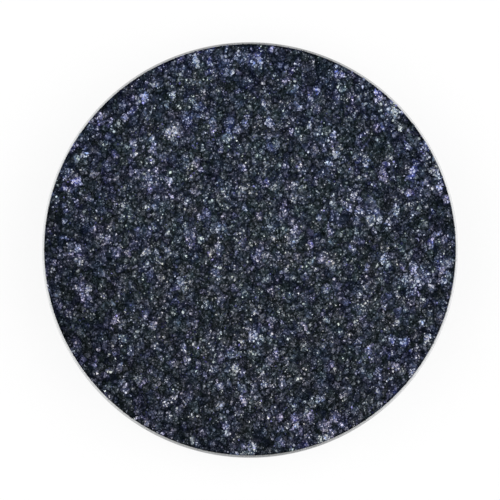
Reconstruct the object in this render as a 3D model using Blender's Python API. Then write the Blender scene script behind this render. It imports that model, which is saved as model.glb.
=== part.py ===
"""Single eyeshadow refill: a drawn tinplate pan, the powder cake pressed into it and a blank paper label.

Metres, +Z up. The pan stands on its foot ring at Z = 0, with its axis on Z and the powder facing up.
"""

import math

import bmesh
import bpy

MM = 0.001

# Pan, drawn from one round of tinplate
PAN_DIAMETER = 26.0 * MM
PAN_HEIGHT = 4.0 * MM
SHEET_THICKNESS = 0.2 * MM
BASE_BEND_RADIUS = 0.5 * MM  # inside the bend between wall and base
RIM_EDGE_RADIUS = 0.06 * MM  # on both edges of the trimmed rim
FOOT_WIDTH = 1.1 * MM  # flat ring that the pan stands on
PANEL_STEP_WIDTH = 0.6 * MM  # run of the slope from the foot up to the stamped panel

# Powder cake, pressed into the pan
CAKE_CLEARANCE = 0.03 * MM  # to the pan, all round and below
CAKE_DROP = 0.15 * MM  # from the rim down to the edge of the cake
CAKE_EDGE_RADIUS = 0.15 * MM
CAKE_CROWN = 0.1 * MM  # rise of the middle of the cake above its edge

# Paper label, stuck to the underside of the panel
LABEL_THICKNESS = 0.1 * MM
LABEL_MARGIN = 0.4 * MM  # from the edge of the panel in to the edge of the label
LABEL_BOND = 0.03 * MM  # adhesive between the label and the panel
LABEL_RECESS = 0.15 * MM  # from the foot up to the label, so that the label never touches the table

# Fineness of the round shapes
TURN_STEPS = 96
BEND_STEPS = 5
RIM_STEPS = 3
SLOPE_STEPS = 6
CROWN_STEPS = 5
WELD_DISTANCE = 0.0001 * MM
SHARP_ANGLE = math.radians(35)

# Places that follow from the sizes
OUTER_RADIUS = PAN_DIAMETER / 2
INNER_RADIUS = OUTER_RADIUS - SHEET_THICKNESS
BEND_CENTRE = (INNER_RADIUS - BASE_BEND_RADIUS, SHEET_THICKNESS + BASE_BEND_RADIUS)
FOOT_INNER_RADIUS = BEND_CENTRE[0] - FOOT_WIDTH
PANEL_RADIUS = FOOT_INNER_RADIUS - PANEL_STEP_WIDTH
PANEL_RISE = LABEL_RECESS + LABEL_THICKNESS + LABEL_BOND
LABEL_RADIUS = PANEL_RADIUS - LABEL_MARGIN

TINPLATE = ("tinplate", (0.72, 0.73, 0.75), 1.0, 0.28)
SHIMMER_POWDER = ("shimmer_powder", (0.040, 0.046, 0.066), 0.0, 0.55)
LABEL_PAPER = ("label_paper", (0.84, 0.83, 0.80), 0.0, 0.8)


def arc(centre, radius, start, end, steps):
    """Points (r, z) of an arc, from the start to the end angle in degrees."""
    angles = [math.radians(start + (end - start) * step / steps) for step in range(steps + 1)]
    return [(centre[0] + radius * math.cos(a), centre[1] + radius * math.sin(a)) for a in angles]


def base_line(lift):
    """Points (r, z) from the axis out over the panel, down its slope and to the foot, lifted by lift."""
    points = [(0.0, PANEL_RISE + lift)]
    for step in range(SLOPE_STEPS + 1):
        share = step / SLOPE_STEPS
        height = PANEL_RISE * (1 + math.cos(math.pi * share)) / 2
        points.append((PANEL_RADIUS + PANEL_STEP_WIDTH * share, height + lift))
    return points


def pan_outline():
    """Up the inside of the pan, over its rim and down the outside, from axis to axis."""
    rim = min(RIM_EDGE_RADIUS, SHEET_THICKNESS / 2.2)
    inside = base_line(SHEET_THICKNESS) + arc(BEND_CENTRE, BASE_BEND_RADIUS, -90, 0, BEND_STEPS)
    rim_inside = arc((INNER_RADIUS + rim, PAN_HEIGHT - rim), rim, 180, 90, RIM_STEPS)
    rim_outside = arc((OUTER_RADIUS - rim, PAN_HEIGHT - rim), rim, 90, 0, RIM_STEPS)
    outside = arc(BEND_CENTRE, BASE_BEND_RADIUS + SHEET_THICKNESS, 0, -90, BEND_STEPS)
    return inside + rim_inside + rim_outside + outside + base_line(0.0)[::-1]


def cake_outline():
    """Out over the base of the pan, up its wall and back over the crowned top, from axis to axis."""
    radius = INNER_RADIUS - CAKE_CLEARANCE
    below = base_line(SHEET_THICKNESS + CAKE_CLEARANCE)
    bend = arc(BEND_CENTRE, BASE_BEND_RADIUS - CAKE_CLEARANCE, -90, 0, BEND_STEPS)
    edge_top = PAN_HEIGHT - CAKE_DROP
    edge_centre = (radius - CAKE_EDGE_RADIUS, edge_top - CAKE_EDGE_RADIUS)
    edge = arc(edge_centre, CAKE_EDGE_RADIUS, 0, 90, BEND_STEPS)
    crown = []
    for step in range(CROWN_STEPS - 1, -1, -1):
        share = step / CROWN_STEPS
        crown.append((edge_centre[0] * share, edge_top + CAKE_CROWN * (1 - share**2)))
    return below + bend + edge + crown


def label_outline():
    """Over the glued face of the label and back over its printed face, from axis to axis."""
    glued = PANEL_RISE - LABEL_BOND
    printed = glued - LABEL_THICKNESS
    return [(0.0, glued), (LABEL_RADIUS, glued), (LABEL_RADIUS, printed), (0.0, printed)]


def material(name, colour, metallic, roughness):
    made = bpy.data.materials.new(name)
    made.use_nodes = True
    surface = made.node_tree.nodes["Principled BSDF"]
    surface.inputs["Base Color"].default_value = (*colour, 1.0)
    surface.inputs["Metallic"].default_value = metallic
    surface.inputs["Roughness"].default_value = roughness
    return made


def turned(name, outline, look, parent):
    """One closed piece, turned about Z from an outline that starts and ends on the axis."""
    shape = bmesh.new()
    points = [shape.verts.new((r, 0.0, z)) for r, z in outline]
    edges = [shape.edges.new(pair) for pair in zip(points, points[1:])]
    bmesh.ops.spin(
        shape,
        geom=points + edges,
        cent=(0.0, 0.0, 0.0),
        axis=(0.0, 0.0, 1.0),
        angle=math.tau,
        steps=TURN_STEPS,
        use_merge=True,
    )
    bmesh.ops.remove_doubles(shape, verts=shape.verts, dist=WELD_DISTANCE)
    bmesh.ops.recalc_face_normals(shape, faces=shape.faces)
    mesh = bpy.data.meshes.new(name)
    shape.to_mesh(mesh)
    shape.free()
    mesh.shade_smooth()
    mesh.set_sharp_from_angle(angle=SHARP_ANGLE)
    mesh.materials.append(material(*look))
    piece = bpy.data.objects.new(name, mesh)
    piece.parent = parent
    bpy.context.scene.collection.objects.link(piece)
    return piece


def main():
    for old in list(bpy.data.objects):
        bpy.data.objects.remove(old)
    refill = bpy.data.objects.new("eyeshadow_refill", None)
    bpy.context.scene.collection.objects.link(refill)
    turned("pan", pan_outline(), TINPLATE, refill)
    turned("powder_cake", cake_outline(), SHIMMER_POWDER, refill)
    turned("base_label", label_outline(), LABEL_PAPER, refill)


main()
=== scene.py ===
"""Dressed model of a single eyeshadow refill: pearl powder pressed into a drawn tinplate pan, on white."""

import functools
import math
import random

import bmesh
import bpy
from mathutils import Matrix, Vector, noise


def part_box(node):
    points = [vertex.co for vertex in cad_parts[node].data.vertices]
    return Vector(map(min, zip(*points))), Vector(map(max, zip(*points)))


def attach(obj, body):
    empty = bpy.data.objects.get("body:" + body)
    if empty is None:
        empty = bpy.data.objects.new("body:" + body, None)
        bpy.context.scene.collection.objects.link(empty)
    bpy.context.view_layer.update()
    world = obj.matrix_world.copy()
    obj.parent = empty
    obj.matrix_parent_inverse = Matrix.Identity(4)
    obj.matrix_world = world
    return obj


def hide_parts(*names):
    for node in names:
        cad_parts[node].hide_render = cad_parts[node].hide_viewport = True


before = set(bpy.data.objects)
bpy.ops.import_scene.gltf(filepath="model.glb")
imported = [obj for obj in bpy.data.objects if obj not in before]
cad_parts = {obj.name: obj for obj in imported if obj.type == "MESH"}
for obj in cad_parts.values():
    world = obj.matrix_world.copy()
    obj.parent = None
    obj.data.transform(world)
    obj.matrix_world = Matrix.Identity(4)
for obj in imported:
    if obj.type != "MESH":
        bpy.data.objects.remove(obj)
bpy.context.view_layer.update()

MM = 0.001
BODY = "root"
BAKE_MAP = "OFBake"
WHITE = (1.0, 1.0, 1.0, 1.0)

# Pan, cake and label as packed
PAN_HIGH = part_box("pan")[1]
CAKE_LOW, CAKE_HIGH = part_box("powder_cake")
LABEL_LOW, LABEL_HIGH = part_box("base_label")
OUTER_RADIUS = PAN_HIGH.x
PAN_HEIGHT = PAN_HIGH.z
CAKE_RADIUS = CAKE_HIGH.x
LABEL_RADIUS = LABEL_HIGH.x

# Drawn tinplate
SHEET = 0.2 * MM
INNER_RADIUS = OUTER_RADIUS - SHEET
BEND_RADIUS, BEND_STEPS = 0.5 * MM, 12
RIM_EDGE, RIM_STEPS = 0.095 * MM, 6
FOOT_WIDTH = 1.1 * MM
SLOPE_WIDTH, SLOPE_STEPS = 0.6 * MM, 12
LABEL_BOND = 0.03 * MM
PANEL_RISE = LABEL_HIGH.z + LABEL_BOND
TURN_STEPS = 256
TURN_MERGE = 0.0001 * MM
SHARP_CORNER = math.radians(40)

# Edge of the powder, smeared over the rim's round: all round but for a loss, greatest on the near side
SMEAR = 0.07 * MM
SMEAR_LOSS = 0.032 * MM
LOSS_AT_SIDES, LOSS_SWING = 0.25, 0.75
SMEAR_LIFT = 0.004 * MM
SMEAR_RINGS = (0.0, 0.25, 0.5, 0.75, 1.0)
BED_RADIUS = INNER_RADIUS + SMEAR
BED_BASE = CAKE_LOW.z + PANEL_RISE

# Relief of the pressed powder: slow waves, slabs near the wall, lumps of pressed pearl, and crumbs on them
BED_LEVEL = PAN_HEIGHT - 0.09 * MM
BED_CELLS = 300
SHARP_POWDER = math.radians(60)
COARSE_MIDDLE, COARSE_RISE = 0.8, 0.3
WAVE_SIZE, WAVE_HEIGHT = 2.6 * MM, 0.03 * MM
SLAB_SIZE, CRACK_DEPTH, CRACK_WIDTH = 1.4 * MM, 0.09 * MM, 0.16
CRACKS_FROM, CRACKS_OVER = 1.9 / 3.0, 1.0 / 3.0
LUMP_SIZE, LUMP_HEIGHT = 0.41 * MM, 0.075 * MM
LUMP_STRETCH, LUMP_VARIETY = 0.8, 0.17
LUMP_REACH, LUMP_MEAN = 0.75, 0.6
WARP_SIZE, WARP_REACH, WARP_SEED = 0.35 * MM, 0.14 * MM, 26
CRUMB_SIZE, CRUMB_HEIGHT, CRUMB_MEAN = 0.27 * MM, 0.03 * MM, 0.5
NORMAL_STEP = 0.04 * MM

# What the powder and each flake carry: how bright it is (with painted shade in the crevices and cracks),
# its interference colour and its rosy cast
SHINE_NAMES = ("glow", "tint", "blush")
# A lump's own numbers, each drawn from its centre by a key
SIZE_KEY, SHINE_KEY, TINT_KEY, BLUSH_KEY = 19.0, 37.0, 53.0, 71.0
# Brightness: its level, slow patches of it, the few bright lumps, the wall's edge and two sides
SHINE_LEVEL = -1.075
SHINE_PATCH, SHINE_START, SHINE_SWING = 1.9 * MM, Vector((7.0, 3.0, 1.0)), 0.2
LUMP_SHINE, LUMP_RARITY = 2.15, 3
EDGE_SHINE, EDGE_POWER = 0.25, 6
BRIGHT_SIDE = Vector((0.12, 0.06, 0.0))
DARK_SIDE = Vector((-0.85, -0.53, 0.0))
DARK_SHADE, DARK_POWER = 0.8, 5
# Painted shade: the glow left in the crevices between lumps, and how much the cracks between slabs take
# away
CREVICE_WIDTH, CREVICE_SHADE_GLOW = 0.4, 0.06
CRACK_SHADE = 0.9
# Tint: its level, its rise towards the wall, patches of it and the violet side
TINT_LEVEL, TINT_RISE = 0.32, 0.12
TINT_PATCH, TINT_START, TINT_SWING = 1.4 * MM, Vector((2.0, 9.0, 4.0)), 0.4
VIOLET_SIDE = Vector((0.02, 0.12, 0.0))
LUMP_TINT = 0.36
# Blush: its level, patches of it and the rosy side
BLUSH_LEVEL = 0.5
BLUSH_PATCH, BLUSH_START, BLUSH_SWING = 1.0 * MM, Vector((5.0, 1.0, 8.0)), 0.75
ROSY_SIDE = Vector((-0.05, -0.22, 0.0))
LUMP_BLUSH = 0.25
# A bright lump is more violet and a little rosier than a dull one
SHINE_TINT, SHINE_BLUSH, LUMP_MIDDLE = 0.24, 0.025, 0.5
# Bright clumps: middle and reach across and along in millimetres, shine, tint and blush
CLUMP_SHARE, CLUMP_EDGE = 0.7, 4
# Painted shade in the hollow round each bright clump, and how far it reaches
CLUMP_SHADE, SHADE_REACH = 0.35, 1.8
BRIGHT_CLUMPS = [
    ((10.5, -1.75), (1.1, 0.7), 1.9, 1.0, 0.3),
    ((12.1, -0.95), (0.6, 0.75), 2.8, 1.4, 0.35),
    ((8.95, 8.6), (0.9, 0.9), 2.0, 0.6, 0.35),
    ((7.6, 2.45), (0.45, 0.95), 1.05, 0.75, 0.3),
    ((0.3, 11.9), (0.95, 0.55), 1.8, 1.05, 0.15),
    ((-4.7, 7.55), (0.6, 0.55), 2.3, 0.2, 0.65),
    ((-6.3, 4.6), (0.75, 0.6), 1.85, 0.65, 0.55),
    ((-10.97, -0.2), (0.68, 0.7), 1.85, 0.85, 0.6),
    ((-10.4, -2.5), (0.5, 0.55), 1.7, 0.65, 0.3),
]

# Pearl flakes by piece: how many, their size, the ring that they lie in, and how bright they are
FLAKE_SEED = 26
FLAKE_INSET = 0.02 * MM
FLAKE_SETS = {
    "fine_pearl": (32000, 0.043 * MM, 0.0, BED_RADIUS, 0.5),
    "pearl_flakes": (27000, 0.065 * MM, 0.0, BED_RADIUS - FLAKE_INSET, 0.5),
    "rim_flakes": (300, 0.050 * MM, INNER_RADIUS - 0.15 * MM, BED_RADIUS - FLAKE_INSET, 1.05),
}
FLAKE_CORNERS = (3, 4, 5)
FLAKE_SPREAD, FLAKE_LARGEST = 0.35, 0.55
FLAKE_NARROWEST = 0.5
FLAKE_DEPTH = 0.25
FLAKE_MERGE = 0.001
FLAKE_TILT = 0.22
FLAKE_PROUD = 0.015 * MM
GLOW_SPREAD, GLOW_BRIGHTEST = 0.86, 1.11
TINT_SPREAD, PLAIN_TINTS, VIVID_SHARE = 0.14, 0.95, 0.024
BLUSH_SPREAD, BLUSH_SHARE = 0.08, 0.7

# Maps for the bake: the bed's top fills its map but for a corner with the skirt, and each flake has a cell
MAP_MIDDLE, MAP_REACH = Vector((0.5, 0.5)), 0.495
MAP_CORNER, CORNER_REACH, CORNER_RISE = Vector((0.08, 0.08)), 0.055, 0.015
CELL_REACH = 0.35

# Interference colours of the pearl, from green silver through silver and lavender to violet and blue
PEARL_TINTS = [
    (0.0, (0.477, 0.528, 0.591)),
    (0.25, (0.468, 0.511, 0.615)),
    (0.5, (0.459, 0.491, 0.645)),
    (0.75, (0.447, 0.469, 0.682)),
    (0.95, (0.429, 0.445, 0.728)),
    (1.0, (0.300, 0.300, 0.760)),
]
# Across those, from a cold blue cast to a rosy one
BLUSH_TINTS = [(0.0, (0.895, 1.035, 1.035)), (1.0, (1.105, 0.965, 0.965))]
# A flake that catches less light is bluer, and a bright one whiter
DIM_TINTS = [(0.0, (0.92, 0.955, 1.105)), (0.6, (1.02, 1.01, 0.945)), (1.0, (1.04, 1.02, 0.865))]
# What lies between the flakes, from green-black through navy to indigo
DEEP_TINTS = [
    (0.0, (0.0055, 0.0093, 0.0092)),
    (0.5, (0.0042, 0.0071, 0.013)),
    (1.0, (0.0035, 0.0057, 0.016)),
]
# Powder is duller than solid metal where it is seen along its surface
GRAZING_TINT = (0.5, 0.5, 0.58, 1.0)

# Finish of the bed: facets too fine to model, most of them dim, and the dark that deepens in the crevices
# as painted shade
FACET_SCALE = 8500.0
FACET_DIM, FACET_BRIGHT, FACET_RARITY = 0.07, 0.5, 5.0
FACET_TINT = (0.72, 0.84, 1.0)
FACET_MIDDLE, FACET_LEAN = (0.5, 0.5, 0.5), (0.9, 0.9, 0.0)
DEEP_DIM, DEEP_RISE, DEEP_BRIGHTEST = 0.44, 1.9, 1.12
BED_ROUGHNESS = 0.4
FLAKE_ROUGHNESS, FLAKE_POLISH = 0.45, 0.1

# Finish of the tinplate: cells per radian round the pan, and per metre along it
WALL_AROUND, WALL_UP, WALL_DETAIL = 180.0, 450.0, 3.0
ROLL_ALONG, ROLL_ACROSS, ROLL_DETAIL = 300.0, 9000.0, 2.0
MOTTLE_SCALE, MOTTLE_DETAIL = 700.0, 4.0
SCUFF_AROUND, SCUFF_ACROSS, SCUFF_DETAIL = 25.0, 6000.0, 5.0
SCUFF_FROM, SCUFF_RISE, SCUFF_SOFTNESS = 0.62, 8.0, 0.1
TIN_MOTTLE, TIN_STREAK, TIN_SCUFF = 0.45, 0.55, 0.25
TIN_TONES = [(0.2, (0.44, 0.45, 0.46)), (0.5, (0.55, 0.555, 0.56)), (0.8, (0.64, 0.645, 0.65))]
TIN_ROUGHNESS, MOTTLE_ROUGHNESS, SCUFF_ROUGHNESS = 0.19, 0.2, 0.2
STREAK_BUMP, STREAK_DEPTH = 0.1, 0.02 * MM

# Finish of the label
FIBRE_SCALE, FIBRE_DETAIL = 4000.0, 5.0
PAPER_TONES = [(0.3, (0.79, 0.78, 0.75)), (0.7, (0.87, 0.86, 0.84))]
PAPER_ROUGHNESS, FIBRE_ROUGHNESS = 0.75, 0.15
FIBRE_BUMP, FIBRE_DEPTH = 0.2, 0.02 * MM

# Table top, sky and lamps
FLOOR_RADIUS, FLOOR_SIDES, FLOOR_DROP = 2.0, 64, 0.01 * MM
FLOOR_COLOUR = (0.96, 0.96, 0.96, 1.0)
FLOOR_WHITE = 0.78
SKY_LEVELS = [(0.0, 1.0), (0.15, 0.92), (0.4, 0.6), (0.85, 0.28)]
LAMPS = {"lamp_left": (-1, 1.6), "lamp_right": (1, 1.8)}
LAMP_WIDTH = math.radians(85)
LAMP_TILT = math.radians(50)

# Camera straight above, framing the pan as the photograph does
PHOTO_WIDTH = 500
PHOTO_PAN_WIDTH = 416.0
LENS = 200.0
SENSOR = 36.0
NEAREST = 0.001


class Term:
    """A shader value that takes part in Python arithmetic: each operation adds its Math node."""

    def __init__(self, shader, socket):
        self.shader = shader
        self.socket = socket

    def __add__(self, other):
        return self.shader.math("ADD", self, other)

    def __radd__(self, other):
        return self.shader.math("ADD", other, self)

    def __sub__(self, other):
        return self.shader.math("SUBTRACT", self, other)

    def __rsub__(self, other):
        return self.shader.math("SUBTRACT", other, self)

    def __mul__(self, other):
        return self.shader.math("MULTIPLY", self, other)

    def __rmul__(self, other):
        return self.shader.math("MULTIPLY", other, self)


class Shader:
    """A node tree whose node() adds any node, with its settings first and then its sockets."""

    def __init__(self, tree):
        self.tree = tree

    def node(self, kind, settings=None, inputs=None, output=0):
        made = self.tree.nodes.new(kind)
        for name, value in (settings or {}).items():
            if name == "stops":
                self.set_stops(made.color_ramp, value)
            else:
                setattr(made, name, value)
        for name, value in (inputs or {}).items():
            if isinstance(value, Term):
                self.tree.links.new(value.socket, made.inputs[name])
            else:
                made.inputs[name].default_value = value
        return Term(self, made.outputs[output]) if made.outputs else None

    def set_stops(self, ramp, stops):
        while len(ramp.elements) < len(stops):
            ramp.elements.new(1.0)
        for element, (place, colour) in zip(ramp.elements, stops):
            element.position = place
            element.color = (*colour, 1.0)

    def math(self, operation, *values):
        return self.node("ShaderNodeMath", {"operation": operation}, dict(enumerate(values)))

    def vector(self, operation, *values):
        return self.node("ShaderNodeVectorMath", {"operation": operation}, dict(enumerate(values)))

    def scaled(self, colour, by):
        return self.node("ShaderNodeVectorMath", {"operation": "SCALE"}, {0: colour, "Scale": by})

    def ramp(self, stops, by):
        return self.node("ShaderNodeValToRGB", {"stops": stops}, {"Fac": by})

    def grain(self, place, scale, detail):
        sockets = {"Vector": place, "Scale": scale, "Detail": detail}
        return self.node("ShaderNodeTexNoise", inputs=sockets)

    def point(self, x, y, z):
        return self.node("ShaderNodeCombineXYZ", inputs={0: x, 1: y, 2: z})

    def bump(self, height, strength, depth):
        sockets = {"Strength": strength, "Distance": depth, "Height": height}
        return self.node("ShaderNodeBump", inputs=sockets)

    def carried(self):
        """The glow, tint and blush that the mesh carries."""
        kind = "ShaderNodeAttribute"
        return [self.node(kind, {"attribute_name": name}, output="Fac") for name in SHINE_NAMES]


def new_material(name):
    """A material with an empty tree, and its Shader."""
    made = bpy.data.materials.new(name)
    made.use_nodes = True
    made.node_tree.nodes.clear()
    return made, Shader(made.node_tree)


def surface(shader, **sockets):
    """Ends a material in a Principled surface with these sockets."""
    named = {name.replace("_", " "): value for name, value in sockets.items()}
    bsdf = shader.node("ShaderNodeBsdfPrincipled", inputs=named)
    shader.node("ShaderNodeOutputMaterial", inputs={"Surface": bsdf})


def tinplate():
    """Bright tinplate: rolling grain on the base, drawing streaks up the wall, a mottle and fine scuffs."""
    made, shader = new_material("tinplate")
    place = shader.node("ShaderNodeTexCoord", output="Object")
    x, y, z = [shader.node("ShaderNodeSeparateXYZ", inputs={0: place}, output=axis) for axis in "XYZ"]
    radius = shader.math("SQRT", x * x + y * y)
    around = shader.math("ARCTAN2", y, x)
    on_wall = shader.math("GREATER_THAN", radius, INNER_RADIUS - BEND_RADIUS / 2)
    up_wall = shader.point(around * WALL_AROUND, z * WALL_UP, 0.0)
    along_sheet = shader.point(x * ROLL_ALONG, y * ROLL_ACROSS, 0.0)
    drawn = shader.grain(up_wall, 1.0, WALL_DETAIL)
    rolled = shader.grain(along_sheet, 1.0, ROLL_DETAIL)
    streak = drawn * on_wall + rolled * (1.0 - on_wall)
    mottle = shader.grain(place, MOTTLE_SCALE, MOTTLE_DETAIL)
    scuff_place = shader.point(around * SCUFF_AROUND, z * SCUFF_ACROSS, radius * SCUFF_ACROSS)
    scuffed = shader.math("MAXIMUM", shader.grain(scuff_place, 1.0, SCUFF_DETAIL) - SCUFF_FROM, 0.0)
    scuff = shader.math("SMOOTH_MIN", scuffed * SCUFF_RISE, 1.0, SCUFF_SOFTNESS)
    tone = mottle * TIN_MOTTLE + streak * TIN_STREAK - scuff * TIN_SCUFF
    surface(
        shader,
        Base_Color=shader.ramp(TIN_TONES, tone),
        Metallic=1.0,
        Roughness=TIN_ROUGHNESS + MOTTLE_ROUGHNESS * mottle + SCUFF_ROUGHNESS * scuff,
        Normal=shader.bump(streak, STREAK_BUMP, STREAK_DEPTH),
    )
    return made


def pressed_powder():
    """Near-black pearl bed: facets too fine to model, each with its own lean, brighter on the lumps, with
    painted shade in the crevices and cracks.
    """
    made, shader = new_material("pressed_powder")
    place = shader.node("ShaderNodeTexCoord", output="Object")
    glow, tint, blush = shader.carried()
    facet_sockets = {"Vector": place, "Scale": FACET_SCALE}
    facet = shader.node("ShaderNodeTexVoronoi", inputs=facet_sockets, output="Color")
    spark = shader.node("ShaderNodeSeparateColor", inputs={0: facet}, output="Blue")
    light = glow * (FACET_DIM + FACET_BRIGHT * shader.math("POWER", spark, FACET_RARITY))
    lit = shader.vector("MULTIPLY", shader.scaled(shader.ramp(PEARL_TINTS, tint), light), FACET_TINT)
    # The dark between the flakes follows the glow, so it carries the painted shade of the crevices and
    # cracks
    depth = shader.math("MINIMUM", DEEP_DIM + DEEP_RISE * glow, DEEP_BRIGHTEST)
    both = shader.vector("ADD", lit, shader.scaled(shader.ramp(DEEP_TINTS, tint), depth))
    upright = shader.node("ShaderNodeNewGeometry", output="Normal")
    lean = shader.vector("SUBTRACT", facet, FACET_MIDDLE)
    facing = shader.vector("MULTIPLY_ADD", lean, FACET_LEAN, upright)
    surface(
        shader,
        Base_Color=shader.vector("MULTIPLY", both, shader.ramp(BLUSH_TINTS, blush)),
        Metallic=1.0,
        Roughness=BED_ROUGHNESS,
        Specular_Tint=GRAZING_TINT,
        Normal=shader.vector("NORMALIZE", facing),
    )
    return made


def pearl_flake():
    """Coated mica: green, silver or violet by the flake's own tint, and lighter or darker by its glow."""
    made, shader = new_material("pearl_flake")
    glow, tint, blush = shader.carried()
    shade = shader.vector("MULTIPLY", shader.ramp(PEARL_TINTS, tint), shader.ramp(DIM_TINTS, glow))
    both = shader.vector("ADD", shader.scaled(shade, glow), shader.ramp(DEEP_TINTS, tint))
    surface(
        shader,
        Base_Color=shader.vector("MULTIPLY", both, shader.ramp(BLUSH_TINTS, blush)),
        Metallic=1.0,
        Roughness=FLAKE_ROUGHNESS - FLAKE_POLISH * glow,
        Specular_Tint=GRAZING_TINT,
    )
    return made


def label_paper():
    """Matt white paper with a faint fibre."""
    made, shader = new_material("label_paper")
    place = shader.node("ShaderNodeTexCoord", output="Object")
    fibre = shader.grain(place, FIBRE_SCALE, FIBRE_DETAIL)
    surface(
        shader,
        Base_Color=shader.ramp(PAPER_TONES, fibre),
        Roughness=PAPER_ROUGHNESS + FIBRE_ROUGHNESS * fibre,
        Normal=shader.bump(fibre, FIBRE_BUMP, FIBRE_DEPTH),
    )
    return made


def new_mesh(name, shape):
    """A mesh from a bmesh, which is then freed."""
    mesh = bpy.data.meshes.new(name)
    shape.to_mesh(mesh)
    shape.free()
    return mesh


def new_object(name, data):
    """An object at the origin, in the scene."""
    made = bpy.data.objects.new(name, data)
    bpy.context.scene.collection.objects.link(made)
    return made


def new_piece(name, shape, look):
    """An object from a bmesh, riding on the part's one body."""
    mesh = new_mesh(name, shape)
    mesh.materials.append(look)
    piece = new_object(name, mesh)
    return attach(piece, BODY)


def smooth(piece, sharp):
    """Smooth shading, but for edges sharper than an angle."""
    piece.data.shade_smooth()
    piece.data.set_sharp_from_angle(angle=sharp)


def arc(centre, radius, start, end, steps):
    """Points (r, z) of an arc, from the start to the end angle in degrees."""
    angles = [math.radians(start + (end - start) * step / steps) for step in range(steps + 1)]
    return [(centre[0] + radius * math.cos(a), centre[1] + radius * math.sin(a)) for a in angles]


def base_line(lift):
    """Points (r, z) from the axis over the stamped panel and down its slope to the foot."""
    foot = INNER_RADIUS - BEND_RADIUS - FOOT_WIDTH
    points = [(0.0, PANEL_RISE + lift)]
    for step in range(SLOPE_STEPS + 1):
        share = step / SLOPE_STEPS
        height = PANEL_RISE * (1 + math.cos(math.pi * share)) / 2
        points.append((foot - SLOPE_WIDTH * (1 - share), height + lift))
    return points


def turn(outline):
    """A closed bmesh, turned about Z from an outline that starts and ends on the axis."""
    shape = bmesh.new()
    points = [shape.verts.new((r, 0.0, z)) for r, z in outline]
    edges = [shape.edges.new(pair) for pair in zip(points, points[1:])]
    bmesh.ops.spin(
        shape,
        geom=points + edges,
        cent=(0.0, 0.0, 0.0),
        axis=(0.0, 0.0, 1.0),
        angle=math.tau,
        steps=TURN_STEPS,
        use_merge=True,
    )
    bmesh.ops.remove_doubles(shape, verts=shape.verts, dist=TURN_MERGE)
    bmesh.ops.recalc_face_normals(shape, faces=shape.faces)
    return shape


def drawn_pan():
    """The pan in fine facets, with its bend, foot, panel and trimmed rim."""
    bend = (INNER_RADIUS - BEND_RADIUS, SHEET + BEND_RADIUS)
    rim_height = PAN_HEIGHT - RIM_EDGE
    outline = base_line(SHEET) + arc(bend, BEND_RADIUS, -90, 0, BEND_STEPS)
    outline += arc((INNER_RADIUS + RIM_EDGE, rim_height), RIM_EDGE, 180, 90, RIM_STEPS)
    outline += arc((OUTER_RADIUS - RIM_EDGE, rim_height), RIM_EDGE, 90, 0, RIM_STEPS)
    outline += arc(bend, BEND_RADIUS + SHEET, 0, -90, BEND_STEPS) + base_line(0.0)[::-1]
    piece = new_piece("drawn_pan", turn(outline), tinplate())
    smooth(piece, SHARP_CORNER)
    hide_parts("pan")


def within(value):
    """A value kept from 0 to 1."""
    return min(max(value, 0.0), 1.0)


def outward(place):
    """How far a place is from the axis, as a share of the pan's inside."""
    return place.length / INNER_RADIUS


def towards(side, place):
    """How far a place lies towards a side of the pan, times the side's strength."""
    return side.dot(place) / INNER_RADIUS


def coarseness(place):
    """The powder is coarser towards the wall."""
    return COARSE_MIDDLE + COARSE_RISE * outward(place) ** 2


def bed_edge(angle):
    """Radius of the powder's edge: it is smeared over the rim's round, and less of it on the near side."""
    return BED_RADIUS - SMEAR_LOSS * within(LOSS_AT_SIDES - LOSS_SWING * math.sin(angle))


def rim_round(radius):
    """Height of the rim's round."""
    off = INNER_RADIUS + RIM_EDGE - radius
    return PAN_HEIGHT - RIM_EDGE + math.sqrt(max(RIM_EDGE**2 - off**2, 0.0))


def lump_under(place):
    """The lump at a place, large or small: how far off it and the next lump are, and its centre."""
    stretched = Vector((place.x, place.y * LUMP_STRETCH, 0.0))
    warped = stretched + WARP_REACH * noise.noise_vector(stretched / WARP_SIZE)
    warped.z = 0.0
    lumps = zip(*noise.voronoi(warped / LUMP_SIZE))
    sized = [(gap - LUMP_VARIETY * noise.cell(centre * SIZE_KEY), centre) for gap, centre in lumps]
    sized.sort(key=lambda lump: lump[0])
    (near, centre), (next_near, _) = sized[:2]
    return near, next_near, centre


def crack_at(place):
    """How far a place is down a crack between slabs, which open towards the wall."""
    slabs = noise.voronoi(place / SLAB_SIZE)[0]
    opened = within((outward(place) - CRACKS_FROM) / CRACKS_OVER)
    return opened * max(1.0 - (slabs[1] - slabs[0]) / CRACK_WIDTH, 0.0)


def bed_height(place):
    """Height of the pressed surface: rounded lumps with crumbs on them, in slow waves."""
    near = lump_under(place)[0]
    dome = math.sqrt(max(1.0 - (max(near, 0.0) / LUMP_REACH) ** 2, 0.0))
    crumb = CRUMB_MEAN - noise.voronoi(place / CRUMB_SIZE)[0][0]
    relief = coarseness(place) * (LUMP_HEIGHT * (dome - LUMP_MEAN) + CRUMB_HEIGHT * crumb)
    relief += WAVE_HEIGHT * noise.noise(place / WAVE_SIZE) - CRACK_DEPTH * crack_at(place)
    return max(BED_LEVEL + relief, rim_round(place.length) + SMEAR_LIFT)


def bed_normal(place, height):
    """Which way the pressed surface faces at a place."""
    across = height - bed_height(place + Vector((NORMAL_STEP, 0.0, 0.0)))
    along = height - bed_height(place + Vector((0.0, NORMAL_STEP, 0.0)))
    return Vector((across, along, NORMAL_STEP)).normalized()


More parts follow.
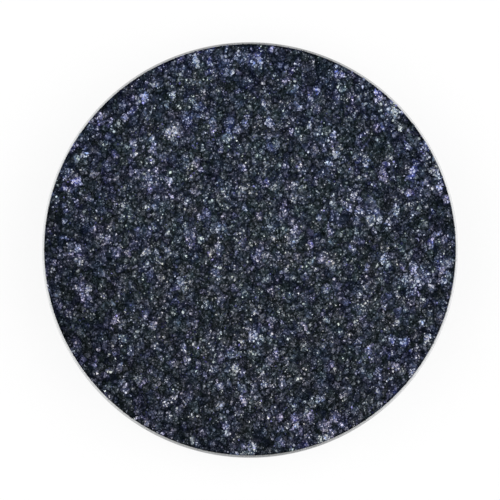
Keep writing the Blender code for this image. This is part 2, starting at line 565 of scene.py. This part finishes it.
def bed_shine(place):
    """Glow, tint and blush of the pressed surface: bright on the lumps, with painted shade in the crevices
    and cracks.
    """
    near, next_near, centre = lump_under(place)
    clear_of_crevice_shade = min((next_near - near) / CREVICE_WIDTH, 1.0)
    chance = 0.5 + 0.5 * noise.cell(centre * SHINE_KEY)
    patch = noise.noise(place / SHINE_PATCH + SHINE_START)
    lump_shine = coarseness(place) * (SHINE_SWING * patch + LUMP_SHINE * chance**LUMP_RARITY)
    shine = lump_shine + SHINE_LEVEL
    shine += towards(BRIGHT_SIDE, place) + EDGE_SHINE * outward(place) ** EDGE_POWER
    shine -= DARK_SHADE * max(towards(DARK_SIDE, place), 0.0) ** DARK_POWER
    above = lump_shine - LUMP_MIDDLE
    tint = TINT_LEVEL + TINT_RISE * outward(place) ** 2 + towards(VIOLET_SIDE, place)
    tint += TINT_SWING * noise.noise(place / TINT_PATCH + TINT_START) + SHINE_TINT * above
    blush = BLUSH_LEVEL + towards(ROSY_SIDE, place)
    blush += BLUSH_SWING * noise.noise(place / BLUSH_PATCH + BLUSH_START) + SHINE_BLUSH * above
    for (x, y), (reach_x, reach_y), clump_shine, clump_tint, clump_blush in BRIGHT_CLUMPS:
        off = math.hypot((place.x / MM - x) / reach_x, (place.y / MM - y) / reach_y)
        # Painted shade in the hollow round the clump
        shine -= CLUMP_SHADE * math.exp(-((off / SHADE_REACH) ** CLUMP_EDGE))
        share = CLUMP_SHARE * math.exp(-(off**CLUMP_EDGE))
        shine += (clump_shine - shine) * share
        tint += (clump_tint - tint) * share
        blush += (clump_blush - blush) * share
    # Painted shade in the crevices between lumps and down the cracks
    glow = (CREVICE_SHADE_GLOW + (1.0 - CREVICE_SHADE_GLOW) * clear_of_crevice_shade) * math.exp(shine)
    glow *= 1.0 - CRACK_SHADE * crack_at(place)
    tint += LUMP_TINT * noise.cell(centre * TINT_KEY)
    blush += LUMP_BLUSH * noise.cell(centre * BLUSH_KEY)
    return glow, within(tint), within(blush)


def under_smear(share, angle):
    """Radius and height of the smear's underside, which lies on the rim's round."""
    round_radius = RIM_EDGE + SMEAR_LIFT / 2
    start = math.acos((bed_edge(angle) - INNER_RADIUS - RIM_EDGE) / round_radius)
    down = start + (math.pi - start) * share
    radius = INNER_RADIUS + RIM_EDGE + round_radius * math.cos(down)
    return radius, PAN_HEIGHT - RIM_EDGE + round_radius * math.sin(down)


def foot_of_cake(angle):
    """Radius and height of the cake's lower edge, the same all round."""
    return CAKE_RADIUS, BED_BASE


def open_edge(shape):
    """The edges that only one face has."""
    return [edge for edge in shape.edges if edge.is_boundary]


def add_ring(shape, ring_at):
    """Extrudes the open edge to a ring whose radius and height follow from the angle."""
    for vert in bmesh.ops.extrude_edge_only(shape, edges=open_edge(shape))["geom"]:
        if isinstance(vert, bmesh.types.BMVert):
            angle = math.atan2(vert.co.y, vert.co.x)
            radius, height = ring_at(angle)
            vert.co = (radius * math.cos(angle), radius * math.sin(angle), height)


def map_bed(shape, top):
    """Lays the top out as it is seen from above, with the skirt and base small in one corner."""
    bake_map = shape.loops.layers.uv.new(BAKE_MAP)
    for face in shape.faces:
        for loop in face.loops:
            flat = loop.vert.co.xy / BED_RADIUS
            if face in top:
                loop[bake_map].uv = MAP_MIDDLE + MAP_REACH * flat
            else:
                lift = (loop.vert.co.z - BED_BASE) / (PAN_HEIGHT - BED_BASE)
                loop[bake_map].uv = MAP_CORNER + (CORNER_REACH + CORNER_RISE * lift) * flat


def powder_bed():
    """The cake, with its lumps in relief: a square grid rounded to a disc, then a skirt and a base."""
    shape = bmesh.new()
    bmesh.ops.create_grid(shape, x_segments=BED_CELLS, y_segments=BED_CELLS, size=1.0)
    layers = [shape.verts.layers.float.new(name) for name in SHINE_NAMES]
    for vert in shape.verts:
        x = vert.co.x * math.sqrt(1 - vert.co.y**2 / 2)
        y = vert.co.y * math.sqrt(1 - vert.co.x**2 / 2)
        place = Vector((x, y, 0.0)) * bed_edge(math.atan2(y, x))
        vert.co = (place.x, place.y, bed_height(place))
        for layer, value in zip(layers, bed_shine(place)):
            vert[layer] = value
    top = set(shape.faces)
    for share in SMEAR_RINGS:
        add_ring(shape, functools.partial(under_smear, share))
    add_ring(shape, foot_of_cake)
    bmesh.ops.holes_fill(shape, edges=open_edge(shape))
    bmesh.ops.recalc_face_normals(shape, faces=shape.faces)
    map_bed(shape, top)
    piece = new_piece("powder_bed", shape, pressed_powder())
    smooth(piece, SHARP_POWDER)
    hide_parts("powder_cake")


def flake_blank(corners):
    """A platelet: a flat top with corners, over a shallow point that is pressed into the powder."""
    shape = bmesh.new()
    bmesh.ops.create_cone(
        shape,
        segments=corners,
        radius1=0.0,
        radius2=1.0,
        depth=FLAKE_DEPTH,
        cap_ends=True,
        matrix=Matrix.Translation((0.0, 0.0, -FLAKE_DEPTH / 2)),
    )
    bmesh.ops.remove_doubles(shape, verts=shape.verts, dist=FLAKE_MERGE)
    for name in SHINE_NAMES:
        shape.verts.layers.float.new(name)
    bake_map = shape.loops.layers.uv.new(BAKE_MAP)
    for face in shape.faces:
        for loop in face.loops:
            loop[bake_map].uv = CELL_REACH * loop.vert.co.xy
    return new_mesh("flake_blank", shape)


def flake_place(inner, outer, draw):
    """A place by chance in a ring of the bed."""
    radius = math.sqrt(draw.uniform(inner**2, outer**2))
    angle = draw.random() * math.tau
    return Vector((math.cos(angle), math.sin(angle), 0.0)) * radius * bed_edge(angle) / BED_RADIUS


def flake_stance(place, flake_size, draw):
    """How a flake lies: a little proud of the bed and off its slope, with a size and a turn of its own."""
    height = bed_height(place)
    size = flake_size * math.exp(min(draw.gauss(0.0, FLAKE_SPREAD), FLAKE_LARGEST))
    lean = Vector((draw.gauss(0.0, FLAKE_TILT), draw.gauss(0.0, FLAKE_TILT), 0.0))
    facing = (bed_normal(place, height) + lean).normalized()
    turned = Matrix.Rotation(draw.random() * math.tau, 3, "Z")
    shaped = Matrix.Diagonal((size, size * draw.uniform(FLAKE_NARROWEST, 1.0), size))
    stance = facing.to_track_quat("Z", "Y").to_matrix() @ turned @ shaped
    return Matrix.Translation((place.x, place.y, height + FLAKE_PROUD)) @ stance.to_4x4()


def flake_shine(place, brightness, draw):
    """A flake's own glow, tint and blush, about those of the powder under it."""
    glow, tint, blush = bed_shine(place)
    own_glow = min(brightness * glow * math.exp(draw.gauss(0.0, GLOW_SPREAD)), GLOW_BRIGHTEST)
    own_tint = PLAIN_TINTS * within(tint + draw.gauss(0.0, TINT_SPREAD))
    if draw.random() < VIVID_SHARE:
        own_tint = 1.0
    own_blush = BLUSH_LEVEL + BLUSH_SHARE * (blush - BLUSH_LEVEL) + draw.gauss(0.0, BLUSH_SPREAD)
    return own_glow, own_tint, within(own_blush)


def flakes(name, count, flake_size, inner, outer, brightness, look, draw):
    """Flakes of pearl over a ring of the cake, brighter on the lumps and tinted in patches."""
    blanks = [flake_blank(corners) for corners in FLAKE_CORNERS]
    across = math.ceil(math.sqrt(count))
    shape = bmesh.new()
    for number in range(count):
        place = flake_place(inner, outer, draw)
        stance = flake_stance(place, flake_size, draw)
        flake = draw.choice(blanks).copy()
        flake.transform(stance)
        for shine_name, value in zip(SHINE_NAMES, flake_shine(place, brightness, draw)):
            flake.attributes[shine_name].data.foreach_set("value", [value] * len(flake.vertices))
        # Each flake has a cell of its own on the map
        cell = Vector((number % across + 0.5, number // across + 0.5))
        for corner in flake.uv_layers[BAKE_MAP].uv:
            corner.vector = (cell + corner.vector) / across
        shape.from_mesh(flake)
        bpy.data.meshes.remove(flake)
    for blank in blanks:
        bpy.data.meshes.remove(blank)
    new_piece(name, shape, look)


def pearl():
    """All the flakes, drawn from one seed in the order of their pieces."""
    draw = random.Random(FLAKE_SEED)
    look = pearl_flake()
    for name, (count, flake_size, inner, outer, brightness) in FLAKE_SETS.items():
        flakes(name, count, flake_size, inner, outer, brightness, look, draw)


def paper_label():
    """The blank label under the panel."""
    top, bottom = LABEL_HIGH.z, LABEL_LOW.z
    outline = [(0.0, top), (LABEL_RADIUS, top), (LABEL_RADIUS, bottom), (0.0, bottom)]
    piece = new_piece("paper_label", turn(outline), label_paper())
    smooth(piece, SHARP_CORNER)
    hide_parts("base_label")


def white_floor():
    """A white table top that keeps a light shadow."""
    made, shader = new_material("white_floor")
    lit = shader.node("ShaderNodeBsdfDiffuse", inputs={"Color": FLOOR_COLOUR})
    glow = shader.node("ShaderNodeEmission", inputs={"Color": WHITE, "Strength": 1.0})
    seen = shader.node("ShaderNodeLightPath", output="Is Camera Ray")
    mirrored = shader.node("ShaderNodeLightPath", output="Is Glossy Ray")
    through = shader.node("ShaderNodeLightPath", output="Is Transmission Ray")
    white = (seen + mirrored + through) * FLOOR_WHITE
    both = shader.node("ShaderNodeMixShader", inputs={0: white, 1: lit, 2: glow})
    shader.node("ShaderNodeOutputMaterial", inputs={"Surface": both})
    shape = bmesh.new()
    dropped = Matrix.Translation((0.0, 0.0, -FLOOR_DROP))
    bmesh.ops.create_circle(
        shape, segments=FLOOR_SIDES, radius=FLOOR_RADIUS, cap_ends=True, matrix=dropped
    )
    mesh = new_mesh("floor", shape)
    mesh.materials.append(made)
    floor = new_object("floor", mesh)


def studio():
    """A pale sky that is dimmer overhead, and a broad soft lamp on either side."""
    world = bpy.data.worlds.new("studio")
    bpy.context.scene.world = world
    world.use_nodes = True
    world.node_tree.nodes.clear()
    shader = Shader(world.node_tree)
    place = shader.node("ShaderNodeTexCoord", output="Generated")
    up = shader.node("ShaderNodeSeparateXYZ", inputs={0: place}, output="Z")
    colour = shader.ramp([(height, (level,) * 3) for height, level in SKY_LEVELS], up)
    sky = shader.node("ShaderNodeBackground", inputs={"Color": colour, "Strength": 1.0})
    shader.node("ShaderNodeOutputWorld", inputs={"Surface": sky})
    for name, (side, strength) in LAMPS.items():
        light = bpy.data.lights.new(name, "SUN")
        light.energy = strength
        light.angle = LAMP_WIDTH
        lamp = new_object(name, light)
        lamp.rotation_euler = (0.0, LAMP_TILT * side, 0.0)


def camera_above():
    """The photograph's view: straight down the pan's axis."""
    lens = bpy.data.cameras.new("camera")
    lens.lens = LENS
    lens.sensor_width = SENSOR
    lens.clip_start = NEAREST
    across = 2 * OUTER_RADIUS * PHOTO_WIDTH / PHOTO_PAN_WIDTH
    camera = new_object("camera", lens)
    camera.location = (0.0, 0.0, PAN_HEIGHT + across * LENS / SENSOR)
    bpy.context.scene.camera = camera


bpy.context.scene.view_settings.view_transform = "Standard"
noise.seed_set(WARP_SEED)
drawn_pan()
powder_bed()
pearl()
paper_label()
white_floor()
studio()
camera_above()
